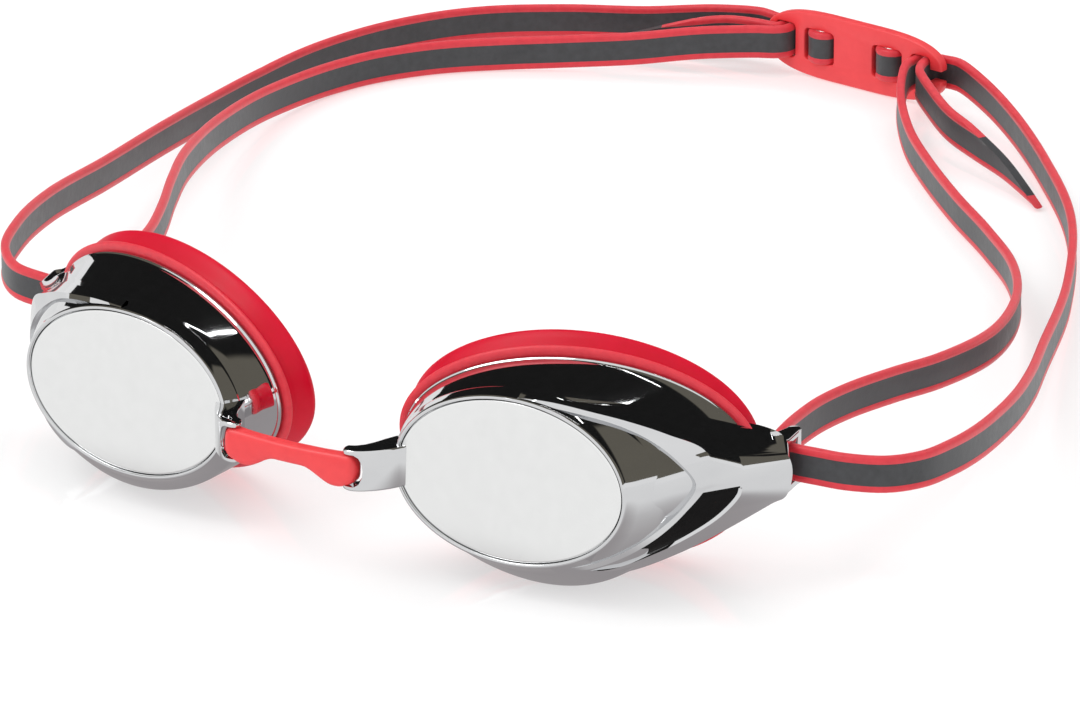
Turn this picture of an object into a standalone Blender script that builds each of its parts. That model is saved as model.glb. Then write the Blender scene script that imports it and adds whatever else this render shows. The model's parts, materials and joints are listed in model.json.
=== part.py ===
"""Racing swim goggles: two mirrored eyecups on a flexible nose bridge, with a split silicone strap.

Sizes are in millimetres in the goggles' own frame: X to the viewer's right, Y back towards the
swimmer, Z up.  X = 0 is the plane of symmetry of the eyecups, Y = 0 the middle of the lenses.  The
finished objects are scaled to metres and set down with the origin under the middle of their box.
"""
import math

import bmesh
import bpy
from mathutils import Matrix, Vector

MM = 0.001
GAP = 0.3
SIDES = {"left": -1, "right": 1}

# Ovals of one eyecup, from the lens back to the face: centre, half length, half heights above and
# below the centre, and the turns about Z (wrap), X (pitch) and the oval's own axis (roll).
LENS_OVAL = ((36.0, 0.0, 0.0), 19.5, 13.2, 13.2, 4.6, -1.6, 1.0)
SHOULDER_OVAL = ((36.9, 4.6, -0.4), 22.9, 15.0, 18.1, 9.0, 2.0, 1.0)
RIM_OVAL = ((38.4, 16.9, 0.9), 27.9, 15.7, 18.9, 18.1, 8.4, 0.7)
SEAL_OVAL = ((36.5, 22.0, 1.6), 28.5, 18.4, 20.9, 17.0, 12.0, 0.7)
# Fullness of the lower temple side of every oval behind the lens.
LOWER_FULLNESS = 0.13
RING_SEGMENTS = 56

LENS_THICKNESS = 1.6
BEZEL_WIDTH = 0.9
LEDGE_WIDTH = 1.1
WALL = 1.4
BEAD_GROWTH = 1.6

# Level of the surface that the goggles stand on, at the foot of the gaskets.
FLOOR = -19.8

# Strap band and the post of the outrigger that it turns around.
BAND_WIDTH = 6.1
BAND_THICKNESS = 1.5
BAND_STEP = 4.0
WEAVE_STEP = 0.6
TAIL_CUT = 17.0
STRAP_HEIGHT = -0.2
SLOT_CLEARANCE = 0.4
POST_CENTRE = (68.0, 33.3)
POST_RADIUS = 1.15
TIP = (71.4, 27.0)
TIP_CORNER = (68.1, 28.2)
TIP_HALF_HEIGHT = 4.6
TIP_THICKNESS = 1.6

# Nose bridge and the knuckles that its barrel ends turn in.
PIVOT = (11.0, -6.5, -0.7)
BARREL_RADIUS = 2.05
BARREL_END_RADIUS = 1.35
BARREL_HALF_HEIGHT = 2.4
KNUCKLE_HALF_HEIGHT = 3.4
PIN_RADIUS = 0.6
BRIDGE_HALF_THICKNESS = 1.35

# Rear clip: a flat plate with two windows, two end slots and an open fork at its right end.
CLIP_YAW = -6.3
CLIP_HALF_LENGTH = 19.3
CLIP_MIDDLE = -0.7
CLIP_HALF_HEIGHT = 6.2
CLIP_CENTRE = (-34.0, 233.2, FLOOR + CLIP_HALF_HEIGHT)
CLIP_END_HALF_HEIGHT = 3.4
CLIP_THICKNESS = 2.0
CLIP_OPENINGS = {"left_slot": (-18.0, -13.8), "left_window": (-12.0, -5.0),
                 "right_window": (3.0, 10.0), "right_slot": (11.8, 16.0)}
CLIP_OPENING_HALF_HEIGHT = 3.5
FORK_HALF_GAP = 1.0

# Route of the band: clip points are (along, across), the others are (x, y, z).
FLOOR_RUN = FLOOR + BAND_WIDTH / 2
WEAVE = ((-18.8, -5.3), (-16.5, -3.9), (-15.2, -2.2), (-15.0, -0.8), (-15.0, 0.6), (-14.5, 2.0),
         (-12.9, 2.5), (-11.3, 2.0), (-10.5, 0.8), (-9.8, -0.3), (-8.5, -1.0), (-7.2, -0.3),
         (-6.5, 0.8), (-5.7, 2.0), (-4.1, 2.4), (-1.0, 2.2), (2.1, 2.4), (3.7, 2.0), (4.5, 0.8),
         (5.2, -0.3), (6.5, -1.0), (7.8, -0.3), (8.5, 0.8), (9.3, 2.0), (10.9, 2.5), (12.5, 2.0),
         (13.0, 0.6), (13.0, -0.8), (13.0, -2.4), (13.4, -4.6))
LEFT_END_WRAP = ((-20.5, -2.4), (-18.6, -2.25), (-17.2, -1.8), (-16.9, -0.5), (-16.9, 0.5),
                 (-17.2, 1.8), (-18.6, 2.2), (-20.5, 2.3))
RIGHT_END_WRAP = ((20.0, 2.4), (17.4, 2.3), (15.5, 1.9), (14.9, 0.5), (14.9, -0.6), (15.2, -2.0),
                  (16.0, -3.8))
LEFT_TAIL = ((-92.0, 220.5, FLOOR_RUN), (-84.0, 222.8, -16.4), (-76.0, 225.6, -15.7),
             (-68.0, 229.0, -14.7), (-61.0, 231.9, -13.7))
RIGHT_TAIL = ((-17.2, 225.0, -13.3), (-12.0, 219.5, -13.7), (-4.0, 212.5, -14.6),
              (4.0, 207.8, -15.2), (12.0, 203.3, -15.6), (20.0, 197.3, -16.2),
              (27.5, 189.0, FLOOR_RUN))
LEFT_OUTER = ((-57.0, 237.9, -13.3), (-66.0, 236.5, -13.9), (-79.0, 233.0, -15.6),
              (-93.0, 228.3, -16.4), (-106.0, 220.0, FLOOR_RUN), (-115.0, 207.0, FLOOR_RUN),
              (-120.5, 190.0, FLOOR_RUN), (-122.0, 172.0, FLOOR_RUN), (-120.5, 153.0, -15.7),
              (-115.5, 130.0, -12.7), (-108.0, 101.0, -8.6), (-100.0, 72.0, -3.8),
              (-92.5, 52.0, -1.0), (-86.0, 38.8, -0.2), (-79.5, 32.6, STRAP_HEIGHT))
RIGHT_OUTER = ((78.5, 31.6, STRAP_HEIGHT), (84.2, 34.2, -0.3), (87.4, 39.8, -0.7),
               (88.0, 48.0, -1.5), (86.9, 59.0, -2.8), (82.0, 79.0, -5.6), (75.0, 98.0, -9.0),
               (67.0, 117.0, -12.0), (52.0, 153.0, -16.1), (37.0, 182.0, FLOOR_RUN),
               (21.0, 203.0, FLOOR_RUN), (5.0, 220.0, -15.8), (-6.5, 229.4, -14.6))
LEFT_INNER = ((-64.9, 42.5, -0.4), (-68.2, 51.0, -0.3), (-73.0, 63.0, -1.5),
              (-79.5, 76.0, -3.0), (-88.0, 91.5, -5.0), (-98.0, 111.0, -8.0),
              (-109.0, 139.0, -12.6), (-114.0, 163.0, -15.6), (-112.0, 184.0, FLOOR_RUN),
              (-105.0, 197.0, FLOOR_RUN), (-96.0, 206.0, FLOOR_RUN), (-85.0, 213.0, -16.3),
              (-73.0, 219.0, -15.3), (-62.5, 224.8, -14.0))
RIGHT_INNER = ((62.8, 43.0, -0.6), (61.8, 52.0, -1.1), (61.9, 62.0, -1.9),
               (62.9, 74.0, -3.2), (63.8, 88.0, -5.2), (61.5, 109.0, -8.4),
               (51.0, 137.0, -13.2), (39.0, 157.0, -16.1), (28.0, 169.0, FLOOR_RUN),
               (15.0, 181.0, FLOOR_RUN), (3.0, 193.0, FLOOR_RUN), (-8.0, 205.0, -16.2),
               (-16.5, 217.0, -14.7))
POST_TURN = ((73.5, 31.1), (69.2, 30.9), (66.2, 31.8), (64.7, 34.2), (63.9, 37.7))


def material(name, colour, roughness, metallic):
    """A Principled material of one colour."""
    finish = bpy.data.materials.new(name)
    finish.use_nodes = True
    shader = finish.node_tree.nodes["Principled BSDF"]
    shader.inputs["Base Color"].default_value = (*colour, 1.0)
    shader.inputs["Roughness"].default_value = roughness
    shader.inputs["Metallic"].default_value = metallic
    finish.diffuse_color = (*colour, 1.0)
    return finish


def oval_axes(oval):
    """The turn of an oval: its columns point along its length, along its axis and upwards."""
    wrap, pitch, roll = (math.radians(angle) for angle in oval[4:7])
    return Matrix.Rotation(wrap, 3, "Z") @ Matrix.Rotation(pitch, 3, "X") @ Matrix.Rotation(-roll, 3, "Y")


def grown(oval, by, back=0.0):
    """The oval made larger all round and moved along its axis."""
    centre = Vector(oval[0]) + oval_axes(oval) @ Vector((0.0, back, 0.0))
    return (tuple(centre), oval[1] + by, oval[2] + by, oval[3] + by, *oval[4:])


def between(first, second, share):
    """The oval that lies a share of the way from the first to the second."""
    centre = Vector(first[0]).lerp(Vector(second[0]), share)
    sizes = [a + (b - a) * share for a, b in zip(first[1:], second[1:])]
    return (tuple(centre), *sizes)


def ring(oval):
    """Points round an oval."""
    centre, length, top, bottom = oval[0], *oval[1:4]
    axes = oval_axes(oval)
    points = []
    for step in range(RING_SEGMENTS):
        angle = 2 * math.pi * step / RING_SEGMENTS
        height = top if step <= RING_SEGMENTS / 2 else bottom
        fullness = LOWER_FULLNESS * min(1.0, (bottom - top) / 2.0) if height == bottom else 0.0
        rise = height * math.sin(angle) * (1 + fullness * math.cos(angle))
        points.append(Vector(centre) + axes @ Vector((length * math.cos(angle), 0.0, rise)))
    return points


def new_object(name, shape, finish=None):
    """An object made of a bmesh in millimetres, with its faces turned outwards."""
    bmesh.ops.recalc_face_normals(shape, faces=shape.faces)
    mesh = bpy.data.meshes.new(name)
    shape.to_mesh(mesh)
    shape.free()
    mesh.shade_smooth()
    mesh.set_sharp_from_angle(angle=math.radians(35))
    item = bpy.data.objects.new(name, mesh)
    bpy.context.collection.objects.link(item)
    if finish:
        mesh.materials.append(finish)
    return item


def loft(rings, joined=False):
    """A skin through rings of points, capped at both ends or joined back to the first ring."""
    shape = bmesh.new()
    loops = [[shape.verts.new(point) for point in points] for points in rings]
    pairs = list(zip(loops, loops[1:]))
    if joined:
        pairs.append((loops[-1], loops[0]))
    for first, second in pairs:
        for i in range(len(first)):
            j = (i + 1) % len(first)
            shape.faces.new((first[i], first[j], second[j], second[i]))
    if not joined:
        shape.faces.new(loops[0])
        shape.faces.new(loops[-1])
    return shape


def hull(points):
    """The convex solid around a set of points."""
    shape = bmesh.new()
    for point in points:
        shape.verts.new(point)
    made = bmesh.ops.convex_hull(shape, input=shape.verts)
    spare = [item for item in made["geom_interior"] if isinstance(item, bmesh.types.BMVert)]
    bmesh.ops.delete(shape, geom=spare, context="VERTS")
    flat = math.radians(0.5)
    bmesh.ops.dissolve_limit(shape, angle_limit=flat, verts=shape.verts, edges=shape.edges)
    return shape


def circle(centre, radius, z, count=20):
    """Points of a level circle."""
    steps = (2 * math.pi * step / count for step in range(count))
    return [Vector((centre[0] + radius * math.cos(a), centre[1] + radius * math.sin(a), z))
            for a in steps]


def combine(base, tool, operation):
    """Boolean of two objects that leaves the result in the first and removes the second."""
    cut = base.modifiers.new(operation.lower(), "BOOLEAN")
    cut.operation = operation
    cut.object = tool
    bpy.context.view_layer.update()
    seen = base.evaluated_get(bpy.context.evaluated_depsgraph_get())
    result = bpy.data.meshes.new_from_object(seen)
    base.modifiers.remove(cut)
    base.data = result
    bpy.data.objects.remove(tool)


def mirrored(item, name):
    """A copy of a right-hand piece for the left side."""
    shape = bmesh.new()
    shape.from_mesh(item.data)
    shape.transform(Matrix.Diagonal((-1.0, 1.0, 1.0, 1.0)))
    return new_object(name, shape, item.data.materials[0])


def barrel_rings(side, clearance):
    """Rings of the bridge's barrel end, which turns about the knuckle's pin."""
    x, y, z = PIVOT
    steps = 8
    rings = []
    for step in range(steps + 1):
        share = 2 * step / steps - 1
        height = share * (BARREL_HALF_HEIGHT + clearance)
        swell = (BARREL_RADIUS - BARREL_END_RADIUS) * (1 - share * share)
        radius = BARREL_END_RADIUS + swell + clearance
        rings.append(circle((side * x, y), radius, z + height, 24))
    return rings


def pin(side, radius, reach, name):
    """A plain round pin on the knuckle's axis."""
    x, y, z = PIVOT
    ends = [circle((side * x, y), radius, z + reach * sign, 16) for sign in (-1, 1)]
    return new_object(name, loft(ends))


def shell_solid():
    """The cup's outer form, still without its cavity."""
    bezel = grown(LENS_OVAL, BEZEL_WIDTH, 0.5)
    face = grown(LENS_OVAL, BEZEL_WIDTH - 0.5, -0.1)
    ovals = [face, bezel, SHOULDER_OVAL, between(SHOULDER_OVAL, RIM_OVAL, 0.5), RIM_OVAL]
    return new_object("shell", loft([ring(oval) for oval in ovals]))


def cavity_solid():
    """The space inside the cup, with the rebate and the ledge that seat the lens."""
    seat = grown(LENS_OVAL, GAP, -3.0)
    seat_floor = grown(LENS_OVAL, GAP, LENS_THICKNESS + GAP)
    ledge = grown(LENS_OVAL, -LEDGE_WIDTH, LENS_THICKNESS + GAP)
    ledge_back = grown(LENS_OVAL, -LEDGE_WIDTH, LENS_THICKNESS + GAP + 1.0)
    inner = grown(between(SHOULDER_OVAL, RIM_OVAL, 0.12), -WALL)
    mouth = grown(RIM_OVAL, -WALL)
    beyond = grown(RIM_OVAL, -WALL, 4.0)
    ovals = [seat, seat_floor, ledge, ledge_back, inner, mouth, beyond]
    return new_object("cavity", loft([ring(oval) for oval in ovals]))


def bead_space():
    """The room behind the rim that the gasket's bead takes from the outrigger."""
    ovals = [grown(between(RIM_OVAL, SEAL_OVAL, share), BEAD_GROWTH + GAP) for share in (0.02, 0.5)]
    return new_object("bead_space", loft([ring(oval) for oval in ovals]))


def tip_outline(offset):
    """The rounded end of the outrigger, shifted back from its front face."""
    points = []
    for step in range(9):
        angle = math.radians(-90 + 22.5 * step)
        x = TIP_CORNER[0] + (TIP[0] - TIP_CORNER[0]) * math.cos(angle) - 0.846 * offset
        y = TIP_CORNER[1] + (TIP[1] - TIP_CORNER[1]) * math.cos(angle) + 0.533 * offset
        points.append((x, y, STRAP_HEIGHT + TIP_HALF_HEIGHT * math.sin(angle)))
    return points


def wing_solid():
    """The outrigger: a wedge from the temple side of the cup to its rounded tip."""
    collar = ring(grown(LENS_OVAL, BEZEL_WIDTH + 1.2, 2.4))
    quarter = RING_SEGMENTS // 4
    temple = collar[-quarter + 1:] + collar[:quarter]
    points = temple + tip_outline(0.0) + tip_outline(TIP_THICKNESS)
    return new_object("wing", hull(points))


def post_solid():
    """The round post behind the outrigger's tip, with the webs that carry it."""
    top = STRAP_HEIGHT + TIP_HALF_HEIGHT
    bottom = STRAP_HEIGHT - TIP_HALF_HEIGHT
    web = 1.1
    post = loft([circle(POST_CENTRE, POST_RADIUS, z) for z in (bottom, top)])
    body = new_object("post", post)
    for low, high in ((bottom, bottom + web), (top - web, top)):
        points = []
        for z in (low, high):
            points += circle(POST_CENTRE, POST_RADIUS, z)
            points += [(64.6, 27.6, z), (65.0, 26.0, z), (68.8, 27.7, z), (69.3, 29.0, z)]
        combine(body, new_object("web", hull(points)), "UNION")
    return body


def knuckle_solid():
    """The nose lug, which reaches forward from the lens rim to the bridge's pin."""
    x, y, z = PIVOT
    low, high = z - KNUCKLE_HALF_HEIGHT, z + KNUCKLE_HALF_HEIGHT
    nose = []
    for level in (low, high):
        nose += circle((x, y), 1.3, level, 16)
        nose += [(x + 3.0, y - 0.4, level), (x + 1.6, y + 3.4, level)]
    root = [(17.2, -1.3, low), (17.2, -1.3, high), (19.5, 1.8, low), (19.5, 1.8, high),
            (15.6, 3.6, low), (15.6, 3.6, high)]
    return new_object("knuckle", hull(nose + root))


def build_eyecup(finish):
    """The right eyecup: cup, outrigger with its strap post, and knuckle with its pin, all one."""
    side = SIDES["right"]
    cup = shell_solid()
    for maker in (wing_solid, post_solid, knuckle_solid):
        combine(cup, maker(), "UNION")
    combine(cup, cavity_solid(), "DIFFERENCE")
    combine(cup, bead_space(), "DIFFERENCE")
    passage = band_shape(passage_route(side), SLOT_CLEARANCE)
    combine(cup, new_object("passage", passage), "DIFFERENCE")
    combine(cup, new_object("pocket", loft(barrel_rings(side, GAP))), "DIFFERENCE")
    combine(cup, pin(side, PIN_RADIUS, KNUCKLE_HALF_HEIGHT - 0.2, "pin"), "UNION")
    cup.name = "right_eyecup"
    cup.data.materials.clear()
    cup.data.materials.append(finish)
    return cup


def build_lens(finish):
    """The right lens: an oval plate with a softened front edge."""
    ovals = [grown(LENS_OVAL, -0.4, 0.0), grown(LENS_OVAL, 0.0, 0.3),
             grown(LENS_OVAL, 0.0, LENS_THICKNESS)]
    return new_object("right_lens", loft([ring(oval) for oval in ovals]), finish)


def build_gasket(finish):
    """The right gasket: a bead on the cup's rim, a groove, and a lip that flares to the face."""
    sections = ((0.04, -WALL, 0.0), (0.04, 0.9, 0.0), (0.14, BEAD_GROWTH, 0.0), (0.30, 1.3, 0.0),
                (0.42, 0.1, 0.0), (0.55, -0.3, 0.0), (0.80, 0.0, 0.0), (0.97, 0.0, 0.0),
                (1.00, -0.8, 0.7), (1.00, -3.4, 0.9), (0.72, -3.6, 0.0), (0.40, -2.9, 0.0))
    rings = []
    for share, growth, back in sections:
        rings.append(ring(grown(between(RIM_OVAL, SEAL_OVAL, share), growth, back)))
    return new_object("right_gasket", loft(rings, joined=True), finish)


def build_bridge(finish):
    """The nose bridge: a bone-shaped bar, thin over the nose, with a barrel at each end."""
    half_span = PIVOT[0] - 1.4
    sections = []
    stations = 18
    for step in range(stations + 1):
        share = 2 * step / stations - 1
        x = half_span * share
        top = 1.5 + 0.2 * share * share
        bottom = -1.7 - 2.1 * abs(share) ** 2.6
        y = PIVOT[1] - 0.7 * (1 - share * share)
        middle = (top + bottom) / 2
        half_height = (top - bottom) / 2
        points = []
        for corner in range(12):
            angle = 2 * math.pi * (corner + 0.5) / 12
            across = math.copysign(abs(math.cos(angle)) ** 0.55, math.cos(angle))
            upward = math.copysign(abs(math.sin(angle)) ** 0.55, math.sin(angle))
            points.append(Vector((x, y + BRIDGE_HALF_THICKNESS * across,
                                  middle + half_height * upward)))
        sections.append(points)
    bridge = new_object("nose_bridge", loft(sections), finish)
    for side in SIDES.values():
        combine(bridge, new_object("barrel", loft(barrel_rings(side, 0.0))), "UNION")
        hole = pin(side, PIN_RADIUS + GAP, KNUCKLE_HALF_HEIGHT + 1.0, "hole")
        combine(bridge, hole, "DIFFERENCE")
    bridge.data.materials.clear()
    bridge.data.materials.append(finish)
    return bridge


def clip_point(along, across, up=0.0):
    """A point of the clip's own frame: along the plate, across it towards the back, and up."""
    yaw = math.radians(CLIP_YAW)
    x = CLIP_CENTRE[0] + along * math.cos(yaw) - across * math.sin(yaw)
    y = CLIP_CENTRE[1] + along * math.sin(yaw) + across * math.cos(yaw)
    return Vector((x, y, CLIP_CENTRE[2] + up))


def clip_box(low, high, half_height):
    """A cutter straight through the clip's plate."""
    corners = [clip_point(along, across, up) for along in (low, high)
               for across in (-CLIP_THICKNESS, CLIP_THICKNESS) for up in (-half_height, half_height)]
    return new_object("opening", hull(corners))


def build_clip(finish):
    """The rear clip: a lens-shaped plate with two windows, two slots and a forked right end."""
    outline = []
    stations = 24
    for step in range(stations + 1):
        share = 2 * step / stations - 1
        shoulder = math.sqrt(1 - min(1.0, abs(share)) ** 14)
        swell = (CLIP_HALF_HEIGHT - CLIP_END_HALF_HEIGHT) * (1 - share ** 4)
        height = (CLIP_END_HALF_HEIGHT + swell) * (0.55 + 0.45 * shoulder)
        outline.append((CLIP_MIDDLE + CLIP_HALF_LENGTH * share, height))
    around = outline + [(along, -height) for along, height in reversed(outline)]
    faces = [[clip_point(along, across, height) for along, height in around]
             for across in (-CLIP_THICKNESS / 2, CLIP_THICKNESS / 2)]
    clip = new_object("rear_clip", loft(faces), finish)
    for low, high in CLIP_OPENINGS.values():
        combine(clip, clip_box(low, high, CLIP_OPENING_HALF_HEIGHT), "DIFFERENCE")
    slot_end = CLIP_OPENINGS["right_slot"][1]
    combine(clip, clip_box(slot_end - 1.0, CLIP_HALF_LENGTH + 1.0, FORK_HALF_GAP), "DIFFERENCE")
    return clip


def curve_through(points, step):
    """Points about a step apart on a smooth curve through the given ones (centripetal)."""
    ends = [2 * points[0] - points[1]] + list(points) + [2 * points[-1] - points[-2]]
    smooth = []
    for a, b, c, d in zip(ends, ends[1:], ends[2:], ends[3:]):
        before, across, after = (math.sqrt(max((q - p).length, 0.01))
                                 for p, q in ((a, b), (b, c), (c, d)))
        leave = (b - a) * (across / before) - (c - a) * (across / (before + across)) + (c - b)
        arrive = (c - b) - (d - b) * (across / (across + after)) + (d - c) * (across / after)
        pieces = max(2, round((c - b).length / step))
        for piece in range(pieces):
            t = piece / pieces
            smooth.append(b + leave * t + (3 * (c - b) - 2 * leave - arrive) * t ** 2
                          + (leave + arrive - 2 * (c - b)) * t ** 3)
    smooth.append(points[-1])
    return smooth


def shortened(path, by):
    """A path cut back by a distance at both ends."""
    for _ in range(2):
        path = list(reversed(path))
        run = (path[1] - path[0]).normalized()
        path[0] = path[0] + run * by
    return path


def band_shape(path, clearance=0.0, tail=False):
    """The flat band, standing on its edge along a path; a tail is cut slantwise to a point."""
    half_width = BAND_WIDTH / 2 + clearance
    half_thickness = BAND_THICKNESS / 2 + clearance
    left = sum((b - a).length for a, b in zip(path, path[1:]))
    rings = []
    for i, point in enumerate(path):
        before, after = path[max(i - 1, 0)], path[min(i + 1, len(path) - 1)]
        run = Vector((after.x - before.x, after.y - before.y, 0.0)).normalized()
        across = Vector((-run.y, run.x, 0.0)) * half_thickness
        cut = max(0.0, 1 - left / TAIL_CUT) if tail else 0.0
        top = Vector((0.0, 0.0, half_width * (1 - 1.85 * cut)))
        foot = Vector((0.0, 0.0, -half_width))
        rings.append([point - across + foot, point + across + foot,
                      point + across + top, point - across + top])
        if i + 1 < len(path):
            left -= (path[i + 1] - point).length
    return loft(rings)


def post_turn(side):
    """Route of the band where it turns round the outrigger's post, from outside to inside."""
    return [Vector((side * x, y, STRAP_HEIGHT)) for x, y in POST_TURN]


def passage_route(side):
    """The same turn with straight ends, which clears the outrigger for the band."""
    turn = post_turn(side)
    outward = turn[0] + (turn[0] - turn[1]) * 1.5
    inward = turn[-1] + (turn[-1] - turn[-2]) * 1.5
    return curve_through([outward] + turn + [inward], 1.5)


def strap_route():
    """The whole band, from the left tail to the right tail, as named stretches in order."""
    return (
        ("left_strap_tail", [Vector(p) for p in LEFT_TAIL] + [clip_point(*p) for p in LEFT_END_WRAP]),
        ("left_strap_outer", [Vector(p) for p in LEFT_OUTER]),
        ("left_strap_turn", post_turn(-1)),
        ("left_strap_inner", [Vector(p) for p in LEFT_INNER]),
        ("strap_weave", [clip_point(*p) for p in WEAVE]),
        ("right_strap_inner", [Vector(p) for p in reversed(RIGHT_INNER)]),
        ("right_strap_turn", list(reversed(post_turn(1)))),
        ("right_strap_outer", [Vector(p) for p in RIGHT_OUTER]),
        ("right_strap_tail", [clip_point(*p) for p in RIGHT_END_WRAP] + [Vector(p) for p in RIGHT_TAIL]),
    )


def build_strap(finish):
    """The silicone band as stretches that meet end to end."""
    route = strap_route()
    knots = [point for _, points in route for point in points]
    starts = []
    count = 0
    for _, points in route:
        starts.append(count)
        count += len(points)
    starts.append(count - 1)
    made = {}
    for (name, _), first, last in zip(route, starts, starts[1:]):
        # Two knots beyond each end keep the curve the same as in the unbroken band.
        low, high = max(first - 2, 0), min(last + 2, count - 1)
        fine = name in ("strap_weave", "left_strap_tail", "right_strap_tail")
        step = WEAVE_STEP if fine else BAND_STEP
        whole = curve_through(knots[low:high + 1], step)
        begin = nearest(whole, knots[first])
        end = nearest(whole, knots[last])
        path = shortened(whole[begin:end + 1], GAP / 2)
        for point in path:
            point.z = max(point.z, FLOOR_RUN)
        if name == "left_strap_tail":
            shape = band_shape(list(reversed(path)), tail=True)
        else:
            shape = band_shape(path, tail=name == "right_strap_tail")
        made[name] = new_object(name, shape, finish)
    return made


def nearest(path, point):
    """Index of the path's point that is closest to a given one."""
    return min(range(len(path)), key=lambda i: (path[i] - point).length)


def set_down(items):
    """Scale to metres and move the origin under the middle of the goggles' box."""
    corners = [vertex.co for item in items for vertex in item.data.vertices]
    low = [min(corner[axis] for corner in corners) for axis in range(3)]
    high = [max(corner[axis] for corner in corners) for axis in range(3)]
    origin = Vector(((low[0] + high[0]) / 2, (low[1] + high[1]) / 2, low[2]))
    place = Matrix.Scale(MM, 4) @ Matrix.Translation(-origin)
    for item in items:
        item.data.transform(place)
    return origin


def hang_on(items, name, point):
    """Parent pieces to an empty on their joint's axis."""
    hinge = bpy.data.objects.new(name, None)
    hinge.empty_display_size = 0.01
    hinge.location = point
    bpy.context.collection.objects.link(hinge)
    for item in items:
        item.data.transform(Matrix.Translation(-point))
        item.parent = hinge


def main():
    for item in list(bpy.data.objects):
        bpy.data.objects.remove(item)
    chrome = material("chrome_shell", (0.78, 0.79, 0.80), 0.06, 1.0)
    mirror = material("mirror_lens", (0.86, 0.87, 0.87), 0.12, 1.0)
    red_seal = material("red_seal", (0.72, 0.01, 0.05), 0.45, 0.0)
    coral = material("coral_rubber", (0.85, 0.06, 0.07), 0.40, 0.0)
    band = material("strap_silicone", (0.08, 0.08, 0.09), 0.55, 0.0)
    cups = {"right": [build_eyecup(chrome), build_lens(mirror), build_gasket(red_seal)]}
    cups["left"] = [mirrored(item, item.name.replace("right", "left")) for item in cups["right"]]
    bridge = build_bridge(coral)
    clip = build_clip(coral)
    strap = build_strap(band)
    everything = cups["left"] + cups["right"] + [bridge, clip] + list(strap.values())
    origin = set_down(everything)
    for side_name, side in SIDES.items():
        point = (Vector((side * PIVOT[0], PIVOT[1], PIVOT[2])) - origin) * MM
        hang_on(cups[side_name] + [strap[side_name + "_strap_turn"]], side_name + "_hinge", point)
        print(side_name, "hinge at", tuple(round(value, 5) for value in point))
    print("origin in the design frame", tuple(round(value, 3) for value in origin))


main()
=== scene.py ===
import json
import math

import bmesh
import bpy
from mathutils import Matrix, Vector


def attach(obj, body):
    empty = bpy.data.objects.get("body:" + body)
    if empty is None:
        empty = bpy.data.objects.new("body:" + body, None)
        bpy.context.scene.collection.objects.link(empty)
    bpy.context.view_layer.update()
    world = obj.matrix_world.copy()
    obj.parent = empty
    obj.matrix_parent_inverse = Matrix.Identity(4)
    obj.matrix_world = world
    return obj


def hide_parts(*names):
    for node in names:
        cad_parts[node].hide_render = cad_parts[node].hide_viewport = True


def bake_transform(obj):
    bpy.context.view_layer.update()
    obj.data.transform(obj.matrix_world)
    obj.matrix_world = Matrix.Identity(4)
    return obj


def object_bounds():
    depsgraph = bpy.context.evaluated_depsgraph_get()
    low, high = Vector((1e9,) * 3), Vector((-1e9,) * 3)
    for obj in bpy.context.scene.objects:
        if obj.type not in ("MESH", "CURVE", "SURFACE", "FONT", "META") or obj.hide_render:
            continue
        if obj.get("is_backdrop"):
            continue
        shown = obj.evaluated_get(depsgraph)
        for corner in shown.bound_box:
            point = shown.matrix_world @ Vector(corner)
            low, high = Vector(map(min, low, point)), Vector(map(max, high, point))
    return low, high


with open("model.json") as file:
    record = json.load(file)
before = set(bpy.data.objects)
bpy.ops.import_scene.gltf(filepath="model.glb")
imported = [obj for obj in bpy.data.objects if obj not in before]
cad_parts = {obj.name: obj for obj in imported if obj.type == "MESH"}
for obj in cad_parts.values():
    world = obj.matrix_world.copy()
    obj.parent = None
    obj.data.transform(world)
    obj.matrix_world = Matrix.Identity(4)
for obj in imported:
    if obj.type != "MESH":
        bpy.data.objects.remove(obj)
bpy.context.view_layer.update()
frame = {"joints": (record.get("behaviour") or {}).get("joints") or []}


# ---------------------------------------------------------------------------------------------
# Eyecups.  Each is one shell moulded in clear polycarbonate and plated mirror bright all over,
# with the outrigger for the strap and the slotted lug for the nose bridge moulded in.
# ---------------------------------------------------------------------------------------------
# Sizes are in millimetres, X to the viewer's right, Y back to the swimmer, Z up, with the plane
# between the cups at X = 0; PIVOT is the right cup's pin, and TO_ROW leads to the frame's metres.
PINS = {joint["child"]: Vector(joint["pos_m"]) for joint in frame["joints"]}
PIVOT = (11.0, -6.5, -0.7)
MIDDLE = (PINS["left_cup"] + PINS["right_cup"]) / 2
MM = 0.001
TO_ROW = Matrix.Translation(MIDDLE) @ Matrix.Scale(MM, 4) @ Matrix.Translation((0.0, -PIVOT[1], -PIVOT[2]))
MIRROR = Matrix.Diagonal((-1.0, 1.0, 1.0, 1.0))

# Ovals: centre, half length, half heights above and below, turns about Z (wrap), X (pitch), own axis.
LENS = ((36.0, 0.0, 0.0), 19.5, 13.2, 13.2, 4.6, -1.6, 1.0)
SHOULDER = ((36.9, 4.6, -0.4), 22.9, 15.0, 18.1, 9.0, 2.0, 1.0)
RIM = ((38.4, 16.9, 0.9), 27.9, 15.7, 18.9, 18.1, 8.4, 0.7)
SEAL = ((36.5, 22.0, 1.6), 28.5, 18.4, 20.9, 17.0, 12.0, 0.7)
OVAL_SEGMENTS = 160
LOWER_FULLNESS = 0.13


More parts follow.
